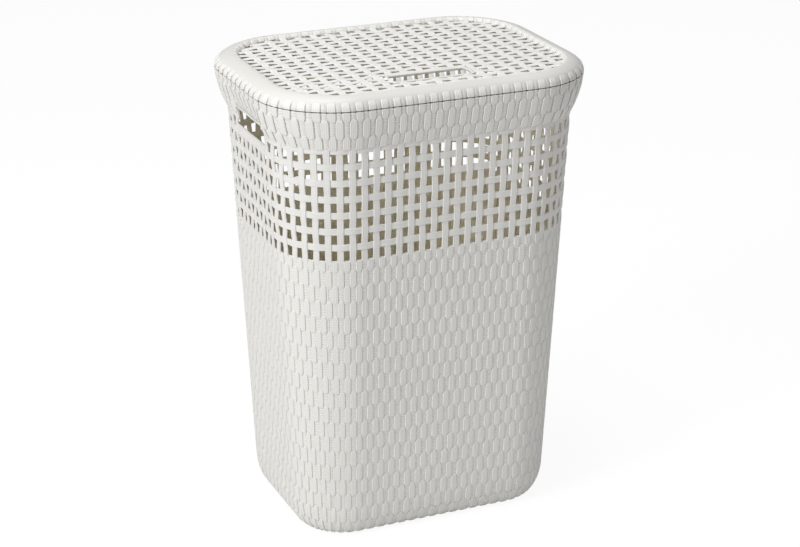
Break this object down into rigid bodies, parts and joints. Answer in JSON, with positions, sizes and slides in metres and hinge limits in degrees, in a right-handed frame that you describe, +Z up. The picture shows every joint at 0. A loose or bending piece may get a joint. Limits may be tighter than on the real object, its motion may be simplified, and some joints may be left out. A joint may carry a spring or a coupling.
{
  "type": "laundry hamper",
  "caption": "Tall tapered laundry hamper in moulded plastic with a woven look, an open-weave band, hand-holes in the short sides and a rear-hinged perforated lid.",
  "frame": {"origin": "on the floor, under the centre of the basket, in the middle of the flat underside", "axes": "+Z up; -Y is the front long side with the finger slot, +Y is the rear with the hinges; +X is to the right seen from the front"},
  "size_m": [0.444, 0.3482, 0.615],
  "materials": {
    "basket_plastic": "satin off-white polypropylene moulded as interlaced strips",
    "floor_plastic": "smooth satin off-white polypropylene",
    "lid_plastic": "satin off-white polypropylene moulded as interlaced strips",
    "pin_plastic": "smooth satin off-white polypropylene"
  },
  "bodies": {
    "basket": {"base_floor": "floor_plastic", "base_edge": "basket_plastic", "closed_weave_wall": "basket_plastic", "open_weave_front": "basket_plastic", "open_weave_rear": "basket_plastic", "open_weave_right": "basket_plastic", "open_weave_left": "basket_plastic", "open_weave_corner_front_right": "basket_plastic", "open_weave_corner_front_left": "basket_plastic", "open_weave_corner_rear_right": "basket_plastic", "open_weave_corner_rear_left": "basket_plastic", "mouth_wall": "basket_plastic", "collar": "basket_plastic", "hand_grip_right": "basket_plastic", "hand_grip_left": "basket_plastic", "hinge_bracket_left": "basket_plastic", "hinge_bracket_right": "basket_plastic", "hinge_pin_left": "pin_plastic", "hinge_pin_right": "pin_plastic"},
    "lid": {"lid_rim": "lid_plastic", "lid_panel": "lid_plastic", "finger_slot_frame": "lid_plastic", "finger_slot_grille": "lid_plastic", "lid_knuckle_left": "lid_plastic", "lid_knuckle_right": "lid_plastic"}
  },
  "joints": [
    {"name": "lid_hinge", "type": "hinge", "parent": "basket", "child": "lid", "pos_m": [0, 0.1746, 0.598], "axis": [-1, 0, 0], "range_deg": [0, 105]}
  ]
}
